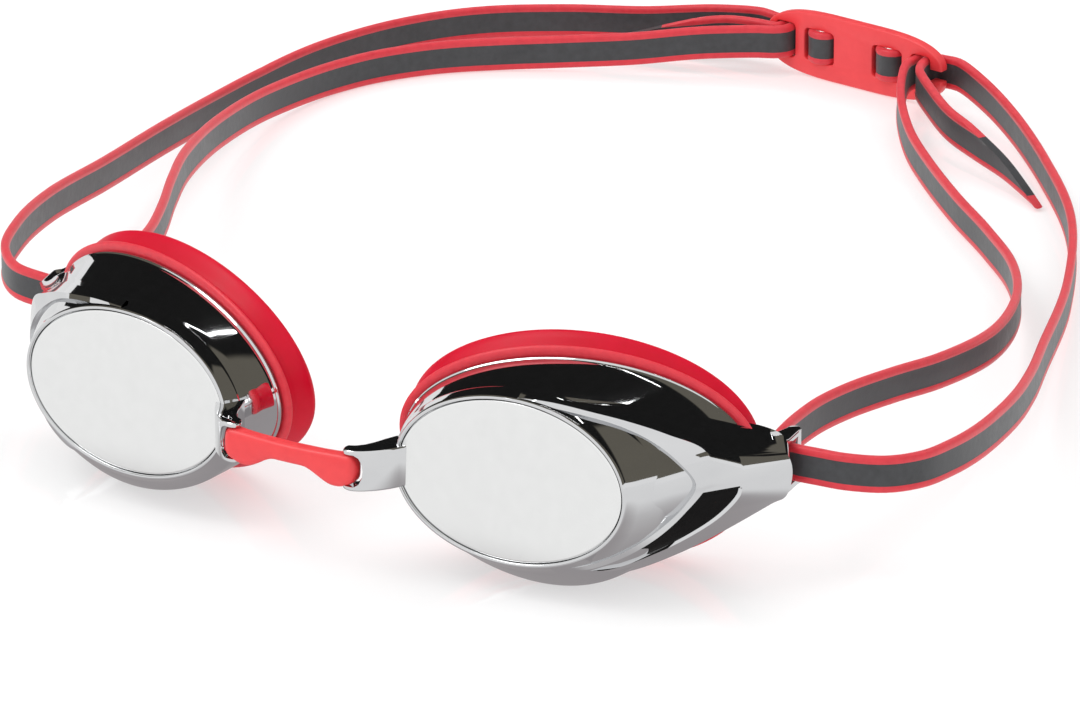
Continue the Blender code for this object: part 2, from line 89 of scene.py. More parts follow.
class Value:
    """An output socket that can be used in expressions."""

    def __init__(self, finish, socket):
        self.finish = finish
        self.socket = socket

    def maths(self, operation, *others):
        return self.finish.node("ShaderNodeMath", {"operation": operation},
                                dict(enumerate((self, *others))))

    def __add__(self, other):
        return self.maths("ADD", other)

    __radd__ = __add__

    def __mul__(self, other):
        return self.maths("MULTIPLY", other)

    __rmul__ = __mul__

    def __sub__(self, other):
        return self.maths("SUBTRACT", other)

    def __rsub__(self, other):
        return (self * -1.0) + other

    def over(self, level, softness=0.001):
        """1 where the value is above a level, 0 below it, with a soft step between."""
        return self.finish.node("ShaderNodeMapRange", {"interpolation_type": "SMOOTHSTEP"},
                                {0: self, 1: level - softness, 2: level + softness, 3: 0.0, 4: 1.0})


class Finish:
    """A material: a Principled surface and the nodes that feed it."""

    def __init__(self, name, **constants):
        self.material = bpy.data.materials.new(name)
        self.material.use_nodes = True
        self.tree = self.material.node_tree
        self.surface = self.tree.nodes["Principled BSDF"]
        for socket, value in constants.items():
            self.surface.inputs[socket.replace("_", " ")].default_value = value
        self.place = self.node("ShaderNodeTexCoord", {}, {}, "Object")

    def node(self, kind, settings, values, output=0):
        made = self.tree.nodes.new(kind)
        for name, value in settings.items():
            setattr(made, name, value)
        for socket, value in values.items():
            if isinstance(value, Value):
                self.tree.links.new(value.socket, made.inputs[socket])
            else:
                made.inputs[socket].default_value = value
        return Value(self, made.outputs[output])

    def noise(self, scale, detail=2.0, stretch=None):
        place = self.place
        if stretch:
            place = self.node("ShaderNodeVectorMath", {"operation": "MULTIPLY"}, {0: place, 1: stretch})
        return self.node("ShaderNodeTexNoise", {}, {"Vector": place, "Scale": scale, "Detail": detail})

    def mix(self, share, first, second):
        return self.node("ShaderNodeMix", {"data_type": "RGBA"}, {0: share, 6: first, 7: second}, 2)

    def attribute(self, name):
        return self.node("ShaderNodeAttribute", {"attribute_name": name}, {}, "Fac")

    def feed(self, **values):
        for socket, value in values.items():
            self.tree.links.new(value.socket, self.surface.inputs[socket.replace("_", " ")])

    def bump(self, height, distance, strength=1.0):
        normal = self.node("ShaderNodeBump", {}, {"Height": height, "Distance": distance,
                                                  "Strength": strength}, "Normal")
        self.feed(Normal=normal)


def oval_axes(oval):
    wrap, pitch, roll = (math.radians(angle) for angle in oval[4:7])
    return Matrix.Rotation(wrap, 3, "Z") @ Matrix.Rotation(pitch, 3, "X") @ Matrix.Rotation(-roll, 3, "Y")


def grown(oval, by, back=0.0):
    centre = Vector(oval[0]) + oval_axes(oval) @ Vector((0.0, back, 0.0))
    return (tuple(centre), oval[1] + by, oval[2] + by, oval[3] + by, *oval[4:])


def between(first, second, share):
    centre = Vector(first[0]).lerp(Vector(second[0]), share)
    return (tuple(centre), *(a + (b - a) * share for a, b in zip(first[1:], second[1:])))


def oval_point(oval, angle):
    """A point of an oval; the lower temple side of the deep ovals is fuller."""
    centre, length, top, bottom = oval[:4]
    low = math.sin(angle) < 0
    fullness = LOWER_FULLNESS * min(1.0, (bottom - top) / 2.0) * math.cos(angle) if low else 0.0
    rise = (bottom if low else top) * math.sin(angle) * (1 + fullness)
    return Vector(centre) + oval_axes(oval) @ Vector((length * math.cos(angle), 0.0, rise))


def ring(oval, segments=OVAL_SEGMENTS):
    return [oval_point(oval, 2 * math.pi * step / segments) for step in range(segments)]


def add_loop(shape, points, closed=True):
    """Adds a loop or an open line of edges and returns its edges."""
    vertices = [shape.verts.new(point) for point in points]
    pairs = list(zip(vertices, vertices[1:]))
    if closed:
        pairs.append((vertices[-1], vertices[0]))
    return [shape.edges.new(pair) for pair in pairs]


def loft(shape, loops, closed=True, joined=False, capped=False):
    """Bridges loops of points in order; joined goes back to the first, capped fills both ends."""
    edges = [add_loop(shape, points, closed) for points in loops]
    pairs = list(zip(edges, edges[1:]))
    if joined:
        pairs.append((edges[-1], edges[0]))
    faces = []
    for first, second in pairs:
        faces += bmesh.ops.bridge_loops(shape, edges=first + second)["faces"]
    if capped:
        for end in (edges[0], edges[-1]):
            bmesh.ops.edgenet_fill(shape, edges=end)
    return faces


def soften(shape, angle, width, segments=3):
    """Rounds the edges that are sharper than an angle."""
    sharp = [edge for edge in shape.edges
             if edge.is_manifold and edge.calc_face_angle(0.0) > math.radians(angle)]
    bmesh.ops.bevel(shape, geom=sharp, offset=width, offset_type="OFFSET", segments=segments,
                    profile=0.5, affect="EDGES", material=-1, clamp_overlap=True)


def carved(shape, *cutters):
    """The closed shape with the cutters taken away."""
    def as_object(name, source):
        bmesh.ops.recalc_face_normals(source, faces=source.faces)
        mesh = bpy.data.meshes.new(name)
        source.to_mesh(mesh)
        source.free()
        item = bpy.data.objects.new(name, mesh)
        bpy.context.scene.collection.objects.link(item)
        return item

    body = as_object("body", shape)
    tools = [as_object("tool", cutter) for cutter in cutters]
    for tool in tools:
        cut = body.modifiers.new("cut", "BOOLEAN")
        cut.operation = "DIFFERENCE"
        cut.object = tool
    bpy.context.view_layer.update()
    result = bmesh.new()
    result.from_object(body, bpy.context.evaluated_depsgraph_get())
    for item in [body, *tools]:
        bpy.data.objects.remove(item)
    return result


def join(target, source):
    """Moves one bmesh's faces into another."""
    mesh = bpy.data.meshes.new("joined")
    source.to_mesh(mesh)
    source.free()
    target.from_mesh(mesh)
    bpy.data.meshes.remove(mesh)


def piece(name, shape, finishes, crease=40.0):
    """Turns a bmesh in millimetres into a finished object in the row's frame."""
    bmesh.ops.recalc_face_normals(shape, faces=shape.faces)
    shape.transform(TO_ROW)
    mesh = bpy.data.meshes.new(name)
    shape.to_mesh(mesh)
    shape.free()
    mesh.shade_smooth()
    mesh.set_sharp_from_angle(angle=math.radians(crease))
    for finish in finishes:
        mesh.materials.append(finish.material)
    item = bpy.data.objects.new(name, mesh)
    bpy.context.scene.collection.objects.link(item)
    return item


def pair(kind, shape, finishes, node, slot, crease=40.0):
    """The right-hand piece and its mirror image, each riding its own cup."""
    left = shape.copy()
    left.transform(MIRROR)
    for side, form in (("right", shape), ("left", left)):
        item = piece(f"{side}_{kind}", form, finishes, crease)
        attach(item, f"{side}_cup")
        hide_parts(f"{side}_{node}")


def spline(points, per):
    """A smooth line through points, with the same number of steps between each two (centripetal)."""
    points = [Vector(point) for point in points]
    ends = [2 * points[0] - points[1]] + points + [2 * points[-1] - points[-2]]
    line = []
    for index, (a, b, c, d) in enumerate(zip(ends, ends[1:], ends[2:], ends[3:])):
        before, across, after = (math.sqrt(max((q - p).length, 0.01))
                                 for p, q in ((a, b), (b, c), (c, d)))
        leave = (b - a) * (across / before) - (c - a) * (across / (before + across)) + (c - b)
        arrive = (c - b) - (d - b) * (across / (across + after)) + (d - c) * (across / after)
        steps = per[index] if isinstance(per, list) else per
        for step in range(steps):
            t = step / steps
            line.append(b + leave * t + (3 * (c - b) - 2 * leave - arrive) * t ** 2
                        + (leave + arrive - 2 * (c - b)) * t ** 3)
    line.append(points[-1])
    return line


# The plating is mirror bright, with faint cloudiness and the waviness of moulded plastic.
plating = Finish("chrome_plating", Base_Color=(0.80, 0.805, 0.815, 1.0), Metallic=1.0)
cloud = plating.noise(260.0, 3.0)
smear = plating.noise(90.0, 4.0, (1.0, 1.0, 3.0))
plating.feed(Roughness=cloud * 0.05 + smear * 0.03,
             Base_Color=plating.mix(smear, (0.68, 0.685, 0.70, 1.0), (0.78, 0.785, 0.79, 1.0)))
plating.bump(plating.noise(120.0, 1.0) + plating.noise(2600.0, 1.0) * 0.004, 0.00006, 0.35)
# The recess under the outrigger's rib is masked from the plating and painted near-black with a faint mottle:
# painted shade for the shadow in the plated recess.
recess_painted_shade = Finish("recess_painted_shade", Specular_IOR_Level=0.08)
shade_mottle = recess_painted_shade.noise(700.0, 3.0)
recess_painted_shade.feed(Roughness=shade_mottle * 0.25 + 0.15,
                 Base_Color=recess_painted_shade.mix(shade_mottle, (0.004, 0.004, 0.004, 1.0), (0.009, 0.008, 0.008, 1.0)))

# Rings of the shell, as growth past an oval and distance back from it, or as shares between ovals.
WALL = 1.4
BEZEL_RINGS = ((-1.1, 1.9), (0.25, 1.9), (0.12, 0.35), (0.16, 0.0), (0.3, -0.2), (0.5, -0.26),
               (0.7, -0.2), (0.86, 0.0), (0.93, 0.35))
BEZEL = grown(LENS, *BEZEL_RINGS[-1])
FRONT_SHARES = (0.3, 0.6, 0.85, 0.94)
SIDE_SHARES = (0.06, 0.2, 0.4, 0.6, 0.8, 0.9)
SHOULDER_ROUNDING = 0.03
RIM_RINGS = ((0.0, -0.62), (0.05, -0.52), (0.17, -0.42), (0.22, -0.3), (0.2, -0.1), (0.08, 0.0),
             (-1.1, 0.0), (-1.3, -0.2))
INSIDE_SHARES = (0.75, 0.45, 0.12)
LEDGE_RINGS = ((-0.8, 3.4), (-1.1, 3.0))

# Shell, from the bezel over the shoulder to the rim and back inside.
shell = bmesh.new()
outside = [ring(grown(LENS, *by_and_back)) for by_and_back in BEZEL_RINGS]
outside += [ring(between(BEZEL, SHOULDER, share)) for share in FRONT_SHARES]
outside += [ring(grown(between(BEZEL, SHOULDER, 0.98), -SHOULDER_ROUNDING))]
outside += [ring(grown(between(SHOULDER, RIM, 0.02), -SHOULDER_ROUNDING))]
outside += [ring(between(SHOULDER, RIM, share)) for share in SIDE_SHARES]
rim = [ring(grown(RIM, *by_and_back)) for by_and_back in RIM_RINGS]
inside = [ring(grown(between(SHOULDER, RIM, share), -WALL)) for share in INSIDE_SHARES]
inside += [ring(grown(LENS, *by_and_back)) for by_and_back in LEDGE_RINGS]
loft(shell, outside + rim + inside, joined=True)

# Outrigger, as lines from the top of the lens round the temple to its bottom.  Each line has the
# same 13 stations, and the lines run from the crescent beside the lens back to the tip.
CRESCENT = ((37.0, 0.5, 14.0), (42.5, 1.6, 13.4), (47.5, 3.6, 12.5), (51.9, 6.2, 10.9),
            (56.0, 8.9, 8.4), (59.9, 10.9, 5.0), (62.3, 12.5, 0.9), (61.2, 11.1, -2.2),
            (59.2, 9.0, -4.9), (56.8, 6.6, -7.3), (53.5, 4.1, -9.7), (48.8, 2.1, -12.1),
            (43.0, 1.0, -13.6))
RIB = ((37.2, 0.9, 14.2), (43.2, 2.1, 14.0), (48.4, 4.0, 13.0), (53.3, 6.8, 11.5),
       (58.4, 10.5, 9.1), (63.4, 14.1, 5.9), (64.0, 14.0, 0.9), (61.8, 11.6, -2.3),
       (59.9, 9.5, -5.0), (57.5, 7.2, -7.5), (54.0, 4.7, -10.0), (49.3, 2.8, -12.3),
       (43.8, 1.6, -13.8))
LAND = ((37.1, 1.5, 14.5), (44.0, 3.8, 14.1), (50.5, 8.3, 12.8), (56.4, 13.5, 10.5),
        (61.3, 17.6, 7.5), (66.2, 19.9, 3.4), (66.9, 19.3, 0.2), (66.5, 18.9, -1.9),
        (64.2, 17.0, -5.2), (60.9, 13.4, -8.0), (57.0, 9.2, -10.3), (51.6, 4.9, -12.6),
        (45.0, 2.4, -14.0))
EDGE = ((37.1, 2.4, 14.8), (45.5, 5.2, 14.2), (53.5, 12.2, 12.2), (60.2, 19.4, 9.3),
        (66.3, 26.2, 5.5), (70.8, 26.4, 2.9), (71.5, 26.9, 0.0), (70.6, 26.6, -4.2),
        (67.9, 26.8, -6.2), (62.6, 20.6, -9.9), (58.5, 14.2, -12.2), (52.6, 8.6, -14.6),
        (45.5, 4.8, -15.8))
BACK = ((37.1, 6.0, 12.0), (45.5, 8.4, 11.5), (53.0, 14.5, 10.5), (59.5, 20.4, 8.4),
        (65.4, 28.0, 6.0), (69.4, 28.2, 4.7), (70.4, 27.8, 0.0), (69.7, 27.3, -3.9),
        (66.6, 27.3, -5.4), (61.6, 21.4, -8.6), (57.5, 15.2, -10.6), (52.0, 10.0, -12.6),
        (45.5, 7.0, -13.6))
ROOT = tuple((min(x, 60.0), y * 0.8 - 2.0, z * 0.8) for x, y, z in BACK)
STEPS = 10
LAST = len(CRESCENT) - 1
# How far the face between the crescent and the rib stands out.
RAISE = Vector((0.45, -0.42, 0.0))
# The recess: the stations it spans, how far its two edges stand out and how deep its bottom lies.
LIFT = Vector((0.45, -0.3, -0.27))
LIFT_STATIONS = (6.2, 11.9)
DEPTH = Vector((-0.3375, 0.225, 0.2025))
DEPTH_STATIONS = (6.5, 11.7)
RECESS_END = 49.5


def window(station, start, end, soft):
    """1 between two stations, falling to 0 within a soft distance inside them."""
    share = min(station - start, end - station) / soft
    share = max(0.0, min(1.0, share))
    return share * share * (3 - 2 * share)


crescent, rib, land, edge, back_line, root = (
    spline(line, STEPS) for line in (CRESCENT, RIB, LAND, EDGE, BACK, ROOT))
stations = [index / STEPS for index in range(len(crescent))]
bezel_line = [oval_point(grown(LENS, 0.8, 0.6), math.radians(100 - 200 * station / LAST))
              for station in stations]
raised, low, high = [], [], []
for i, station in enumerate(stations):
    lift = LIFT * window(station, *LIFT_STATIONS, 0.8)
    rib[i] += lift
    land[i] += lift
    depth = DEPTH * window(station, *DEPTH_STATIONS, 0.1)
    raised.append(crescent[i] + RAISE * window(station, 0.3, 11.5, 2.0))
    low.append(rib[i].lerp(land[i], 0.05) + depth)
    high.append(rib[i].lerp(land[i], 0.95) + depth)
outrigger = bmesh.new()
loft(outrigger, [bezel_line, crescent, raised, rib], closed=False)
recess = loft(outrigger, [rib, low, high], closed=False)
loft(outrigger, [high, land, edge, back_line, root], closed=False)
# Recess faces below the pivot and past RECESS_END take the second finish, the painted-shade black.
for face in recess:
    middle = face.calc_center_median()
    if middle.z < PIVOT[2] and middle.x > RECESS_END:
        face.material_index = 1
bmesh.ops.remove_doubles(outrigger, verts=outrigger.verts, dist=0.0005)
join(shell, outrigger)

# Post behind the tip, and the two webs that carry it.
POST = (68.0, 33.3)
POST_RADIUS = 1.15
POST_LENGTH = 9.0
POST_MIDDLE = -0.2
WEB_FOOT = ((69.6, 29.0), (69.0, 27.4), (66.2, 26.6), (66.0, 28.6))
WEB_LEVELS = ((-4.8, -3.7), (3.3, 4.4))
for levels in WEB_LEVELS:
    web = bmesh.new()
    outline = [(POST[0] + POST_RADIUS * math.cos(a), POST[1] + POST_RADIUS * math.sin(a))
               for a in (math.radians(200 - 22 * step) for step in range(11))]
    outline += WEB_FOOT
    loft(web, [[Vector((*point, z)) for point in outline] for z in levels], capped=True)
    soften(web, 30, 0.18, 2)
    join(shell, web)
post = bmesh.new()
bmesh.ops.create_cone(post, cap_ends=True, segments=40, radius1=POST_RADIUS, radius2=POST_RADIUS,
                      depth=POST_LENGTH, matrix=Matrix.Translation((*POST, POST_MIDDLE)))
join(shell, post)

# Lug for the nose bridge: a rounded block with a barrel-shaped mouth and a pin across it.
# Its levels are heights above the pivot, with the outline's size or the mouth's radius.
LUG = ((9.75, -6.9), (10.1, -7.6), (11.0, -7.9), (12.4, -7.6), (14.4, -6.2), (16.2, -4.2), (17.6, -1.9),
       (19.5, 1.8), (15.6, 3.6), (13.9, 0.6), (12.7, -2.8), (11.4, -4.9), (10.2, -5.6), (9.75, -6.2))
LUG_LEVELS = ((-3.4, 0.94), (-3.3, 0.975), (-3.1, 1.0), (3.1, 1.0), (3.3, 0.975), (3.4, 0.94))
MOUTH_LEVELS = ((-2.7, 1.6), (-2.2, 2.0), (-1.2, 2.3), (0.0, 2.4), (1.2, 2.3), (2.2, 2.0), (2.7, 1.6))
PIN_RADIUS = 0.6
PIN_LENGTH = 6.2
lug_line = spline(LUG + (LUG[0],), 4)[:-1]
lug_middle = sum(lug_line, Vector((0.0, 0.0))) / len(lug_line)
lug = bmesh.new()
loft(lug, [[Vector((*(lug_middle + (point - lug_middle) * size), PIVOT[2] + z)) for point in lug_line]
           for z, size in LUG_LEVELS], capped=True)
mouth = bmesh.new()
loft(mouth, [[Vector((PIVOT[0] + radius * math.cos(a), PIVOT[1] + radius * math.sin(a), PIVOT[2] + z))
              for a in (math.radians(7.5 * step) for step in range(48))]
             for z, radius in MOUTH_LEVELS], capped=True)
lug = carved(lug, mouth)
soften(lug, 40, 0.14, 2)
join(shell, lug)
pin = bmesh.new()
bmesh.ops.create_cone(pin, cap_ends=True, segments=24, radius1=PIN_RADIUS, radius2=PIN_RADIUS,
                      depth=PIN_LENGTH, matrix=Matrix.Translation(PIVOT))
join(shell, pin)
pair("eyecup_shell", shell, (plating, recess_painted_shade), "eyecup", "chrome_shell", 32.0)


# ---------------------------------------------------------------------------------------------
# Lenses.  Each is an oval polycarbonate plate with a silver mirror coating, snapped into the
# cup's bezel against a ledge.
# ---------------------------------------------------------------------------------------------
coating = Finish("mirror_coating", Base_Color=(0.88, 0.885, 0.88, 1.0), Metallic=1.0)
haze = coating.noise(420.0, 4.0)
streak = coating.noise(60.0, 3.0, (1.0, 1.0, 4.0))
coating.feed(Roughness=haze * 0.10 + streak * 0.06 + 0.10,
             Base_Color=coating.mix(haze, (0.92, 0.925, 0.92, 1.0), (0.98, 0.985, 0.98, 1.0)))
coating.bump(coating.noise(900.0, 2.0), 0.00001, 0.2)
# Growth and distance back of the plate's rings: a rounded front edge, then its thickness.
LENS_RINGS = ((-0.35, 0.0), (-0.15, 0.03), (-0.03, 0.12), (0.0, 0.3), (0.0, 1.6))
lens = bmesh.new()
loft(lens, [ring(grown(LENS, *by_and_back)) for by_and_back in LENS_RINGS], capped=True)
pair("lens_plate", lens, (coating,), "lens", "mirror_lens")


# ---------------------------------------------------------------------------------------------
# Gaskets.  Each is soft silicone moulded onto the cup's rim: a coral bead, a groove, and a
# crimson lip that flares out to the face and folds in at its edge.
# ---------------------------------------------------------------------------------------------
bead_rubber = Finish("bead_silicone", Subsurface_Weight=0.15,
                     Subsurface_Radius=(0.004, 0.001, 0.0008), Subsurface_Scale=0.3)
grain = bead_rubber.noise(900.0, 4.0)
bead_rubber.feed(Base_Color=bead_rubber.mix(grain, (0.66, 0.022, 0.045, 1.0), (0.84, 0.05, 0.07, 1.0)),
                 Roughness=grain * 0.2 + 0.30)
bead_rubber.bump(bead_rubber.noise(5200.0, 3.0), 0.00003, 0.35)
lip_rubber = Finish("lip_silicone", Subsurface_Weight=0.2, Subsurface_Radius=(0.005, 0.0008, 0.0008),
                    Subsurface_Scale=0.3, Specular_IOR_Level=0.25)
blush = lip_rubber.noise(240.0, 4.0)
lip_rubber.feed(Base_Color=lip_rubber.mix(blush, (0.58, 0.0, 0.017, 1.0), (0.72, 0.0, 0.030, 1.0)),
                Roughness=blush * 0.22 + 0.28)
lip_rubber.bump(lip_rubber.noise(4300.0, 3.0), 0.000025, 0.3)
# Share of the way from rim to seal, growth, and distance back, round the section.
BEAD = ((0.05, -1.4, 0.0), (0.05, 0.4, 0.0), (0.05, 0.75, 0.0), (0.07, 1.05, 0.0), (0.11, 1.24, 0.0),
        (0.15, 1.28, 0.0), (0.19, 1.18, 0.0), (0.23, 0.9, 0.0), (0.26, 0.5, 0.0), (0.28, 0.1, 0.0))
LIP = ((0.31, -0.25, 0.0), (0.36, -0.5, 0.0), (0.44, -0.58, 0.0), (0.56, -0.42, 0.0), (0.72, -0.15, 0.0),
       (0.92, 0.05, 0.0), (0.98, 0.0, 0.1), (1.0, -0.25, 0.4), (1.0, -0.7, 0.65), (1.0, -1.5, 0.85),
       (1.0, -2.6, 0.9), (1.0, -3.3, 0.8), (0.92, -3.6, 0.0), (0.72, -3.5, 0.0), (0.40, -2.9, 0.0),
       (0.2, -2.2, 0.0))
gasket = bmesh.new()
skin = loft(gasket, [ring(grown(between(RIM, SEAL, share), by, back)) for share, by, back in BEAD + LIP],
            joined=True)
for face in skin[len(BEAD) * OVAL_SEGMENTS:]:
    face.material_index = 1
pair("gasket_seal", gasket, (bead_rubber, lip_rubber), "gasket", "red_seal", 60.0)


# ---------------------------------------------------------------------------------------------
# Nose bridge.  A swappable bone-shaped bar in coral rubber; its barrel ends snap over the pins
# of the two lugs and turn on them.
# ---------------------------------------------------------------------------------------------
coral = Finish("coral_rubber", Coat_Weight=0.15, Coat_Roughness=0.3, Subsurface_Weight=0.1,
               Subsurface_Radius=(0.003, 0.001, 0.0008), Subsurface_Scale=0.3)
marble = coral.noise(500.0, 4.0)
coral.feed(Base_Color=coral.mix(marble, (0.78, 0.035, 0.045, 1.0), (0.92, 0.06, 0.065, 1.0)),
           Roughness=marble * 0.18 + 0.30)
coral.bump(coral.noise(4600.0, 3.0), 0.00003, 0.3)


def eased(value, start, end):
    share = max(0.0, min(1.0, (value - start) / (end - start)))
    return share * share * (3 - 2 * share)


# The bar reaches past each pin by its barrel's radius; share runs from -1 to 1 along it.
BARREL_REACH = 1.3
STATIONS = 49
CORNERS = 28
SQUARENESS = 0.6
bridge = bmesh.new()
sections = []
for step in range(STATIONS):
    share = 2 * step / (STATIONS - 1) - 1
    x = (PIVOT[0] + BARREL_REACH) * share
    end = max(0.0, (abs(x) - PIVOT[0]) / BARREL_REACH)
    shrink = math.sqrt(max(0.02, 1 - end * end))
    top = 1.5 + 0.35 * share * share
    bottom = -1.7 - 2.3 * eased(abs(share), 0.2, 0.68) + 0.8 * eased(abs(share), 0.72, 0.96)
    y = PIVOT[1] - 0.7 * (1 - share * share)
    half = (1.35 + 0.55 * share ** 4) * shrink
    points = []
    for corner in range(CORNERS):
        angle = 2 * math.pi * corner / CORNERS
        across = math.copysign(abs(math.cos(angle)) ** SQUARENESS, math.cos(angle))
        upward = math.copysign(abs(math.sin(angle)) ** SQUARENESS, math.sin(angle))
        rise = (top + bottom) / 2 + (top - bottom) / 2 * upward * shrink
        points.append(Vector((x, y + half * across, rise)))
    sections.append(points)
loft(bridge, sections, capped=True)
item = piece("nose_bridge_bar", bridge, (coral,), 50.0)
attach(item, "root")
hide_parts("nose_bridge")


# ---------------------------------------------------------------------------------------------
# Strap.  One flat silicone band with a grey core and raised coral edges.  From its cut left end
# it turns round the clip's left bar, runs forward round the left post, comes back through the
# clip's slots and windows, and does the same on the right.  It is shown in two lengths.
# ---------------------------------------------------------------------------------------------
FLOOR = -19.8
BAND_WIDTH = 6.1
RUN = FLOOR + BAND_WIDTH / 2
STRAP_HEIGHT = -0.2
CLIP = (-34.0, 233.2, FLOOR + 6.2)
CLIP_YAW = math.radians(-6.3)


def clip_point(along, across, up=0.0):
    x = CLIP[0] + along * math.cos(CLIP_YAW) - across * math.sin(CLIP_YAW)
    y = CLIP[1] + along * math.sin(CLIP_YAW) + across * math.cos(CLIP_YAW)
    return Vector((x, y, CLIP[2] + up))


LEFT_TAIL = ((-92.0, 220.5, RUN), (-84.0, 222.8, -16.4), (-76.0, 225.6, -15.7),
             (-68.0, 229.0, -14.7), (-61.0, 231.9, -13.7))
LEFT_BAR = ((-20.5, -2.4), (-18.6, -2.25), (-17.2, -1.8), (-16.9, -0.5), (-16.9, 0.5),
            (-17.2, 1.8), (-18.6, 2.2), (-20.5, 2.3))
LEFT_OUTER = ((-57.0, 237.9, -13.3), (-66.0, 236.5, -13.9), (-79.0, 233.0, -15.6),
              (-93.0, 228.3, -16.4), (-106.0, 220.0, RUN), (-115.0, 207.0, RUN),
              (-120.5, 190.0, RUN), (-122.0, 172.0, RUN), (-120.5, 153.0, -15.7),
              (-115.5, 130.0, -12.7), (-108.0, 101.0, -8.6), (-100.0, 72.0, -3.8),
              (-92.5, 52.0, -1.0), (-86.0, 38.8, -0.2), (-79.5, 32.6, STRAP_HEIGHT))
LEFT_INNER = ((-64.9, 42.5, -0.4), (-68.2, 51.0, -0.3), (-73.0, 63.0, -1.5),
              (-79.5, 76.0, -3.0), (-88.0, 91.5, -5.0), (-98.0, 111.0, -8.0),
              (-109.0, 139.0, -12.6), (-114.0, 163.0, -15.6), (-112.0, 184.0, RUN),
              (-105.0, 197.0, RUN), (-96.0, 206.0, RUN), (-85.0, 213.0, -16.3),
              (-73.0, 219.0, -15.3), (-62.5, 224.8, -14.0))
WEAVE = ((-18.8, -5.3), (-16.5, -3.9), (-15.2, -2.2), (-15.0, -0.8), (-15.0, 0.6), (-14.5, 2.0),
         (-12.9, 2.5), (-11.3, 2.0), (-10.6, 0.6), (-10.1, -0.8), (-8.5, -1.5), (-6.9, -0.8),
         (-6.4, 0.6), (-5.7, 2.0), (-4.1, 2.4), (-1.0, 2.2), (2.1, 2.4), (3.7, 2.0), (4.4, 0.6),
         (4.9, -0.8), (6.5, -1.5), (8.1, -0.8), (8.6, 0.6), (9.3, 2.0), (10.9, 2.5), (12.5, 2.0),
         (13.0, 0.6), (13.0, -0.8), (13.0, -2.4), (13.4, -4.6))
RIGHT_INNER = ((-16.5, 217.0, -14.7), (-8.0, 205.0, -16.2), (3.0, 193.0, RUN),
               (15.0, 181.0, RUN), (28.0, 169.0, RUN), (39.0, 157.0, -16.1),
               (51.0, 137.0, -13.2), (61.5, 109.0, -8.4), (63.8, 88.0, -5.2),
               (62.9, 74.0, -3.2), (61.9, 62.0, -1.9), (61.8, 52.0, -1.1), (62.8, 43.0, -0.6))
RIGHT_OUTER = ((78.5, 31.6, STRAP_HEIGHT), (84.2, 34.2, -0.3), (87.4, 39.8, -0.7),
               (88.0, 48.0, -1.5), (86.9, 59.0, -2.8), (82.0, 79.0, -5.6), (75.0, 98.0, -9.0),
               (67.0, 117.0, -12.0), (52.0, 153.0, -16.1), (37.0, 182.0, RUN),
               (21.0, 203.0, RUN), (5.0, 220.0, -15.8), (-6.5, 229.4, -14.6))
RIGHT_BAR = ((20.0, 2.4), (17.4, 2.3), (15.5, 1.9), (14.9, 0.5), (14.9, -0.6), (15.2, -2.0),
             (16.0, -3.8))
RIGHT_TAIL = ((-17.2, 225.0, -13.3), (-12.0, 219.5, -13.7), (-4.0, 212.5, -14.6),
              (4.0, 207.8, -15.2), (12.0, 203.3, -15.6), (18.2, 199.0, -16.0),
              (23.6, 195.0, -16.4))
POST_TURN = ((73.5, 31.1), (69.2, 30.9), (66.2, 31.8), (64.7, 34.2), (63.9, 37.7))
left_turn = [Vector((-x, y, STRAP_HEIGHT)) for x, y in POST_TURN]
right_turn = [Vector((x, y, STRAP_HEIGHT)) for x, y in reversed(POST_TURN)]
weave = [clip_point(*point) for point in WEAVE]
HALVES = {
    "left": [*LEFT_TAIL, *(clip_point(*p) for p in LEFT_BAR), *LEFT_OUTER, *left_turn, *LEFT_INNER,
             *weave[:16]],
    "right": [*RIGHT_TAIL[::-1], *(clip_point(*p) for p in RIGHT_BAR[::-1]), *RIGHT_OUTER[::-1],
              *right_turn[::-1], *RIGHT_INNER[::-1], *weave[:14:-1]],
}

band = Finish("strap_silicone", Sheen_Weight=0.12, Sheen_Roughness=0.5)
edge_band = band.attribute("edge").over(0.5, 0.04)
mottle = band.noise(750.0, 5.0)
scuff = band.noise(160.0, 4.0)
fleck = band.noise(5200.0, 2.0)
core = band.mix(mottle * 0.6 + scuff * 0.4, (0.016, 0.016, 0.018, 1.0), (0.075, 0.077, 0.083, 1.0))
trim = band.mix(mottle, (0.60, 0.016, 0.035, 1.0), (0.82, 0.045, 0.062, 1.0))
band.feed(Base_Color=band.mix(edge_band, core, trim), Roughness=mottle * 0.25 + scuff * 0.15 + 0.24)
band.bump(fleck + mottle * 2.0 + edge_band * 4.0, 0.00004, 0.4)

# Distance between rings along the band, and the height where its coral edges begin.
BAND_STEP = 1.3
TRIM_START = 1.9
# Upper quarter of the band's section, as height above the middle and half thickness.
SECTION = ((0.0, 0.66), (1.0, 0.66), (1.75, 0.66), (1.95, 0.68), (2.1, 0.75), (2.4, 0.75), (2.75, 0.70),
           (2.95, 0.52), (3.05, 0.22))
# The band's end is cut on a long slant, which starts this far from the tip.
TAIL_CUT = 30.0


def smooth_path(points, step):
    points = [Vector(point) for point in points]
    per = [max(2, round((b - a).length / step)) for a, b in zip(points, points[1:])]
    path = spline(points, per)
    for point in path:
        point.z = max(point.z, RUN)
    return path


def section_ring(point, side, cut_level):
    """One ring round the band, cut off level at a height, with the height of each point."""
    loop = [*SECTION, *((height, -thickness) for height, thickness in SECTION[::-1]),
            *((-height, -thickness) for height, thickness in SECTION[1:]),
            *((-height, thickness) for height, thickness in SECTION[:0:-1])]
    levels = [min(height, cut_level) for height, _ in loop]
    # Small steps in height keep points apart where the cut brings them to one level.
    made = [point + side * thickness + Vector((0.0, 0.0, level - 0.001 * index))
            for index, (level, (_, thickness)) in enumerate(zip(levels, loop))]
    return made, levels
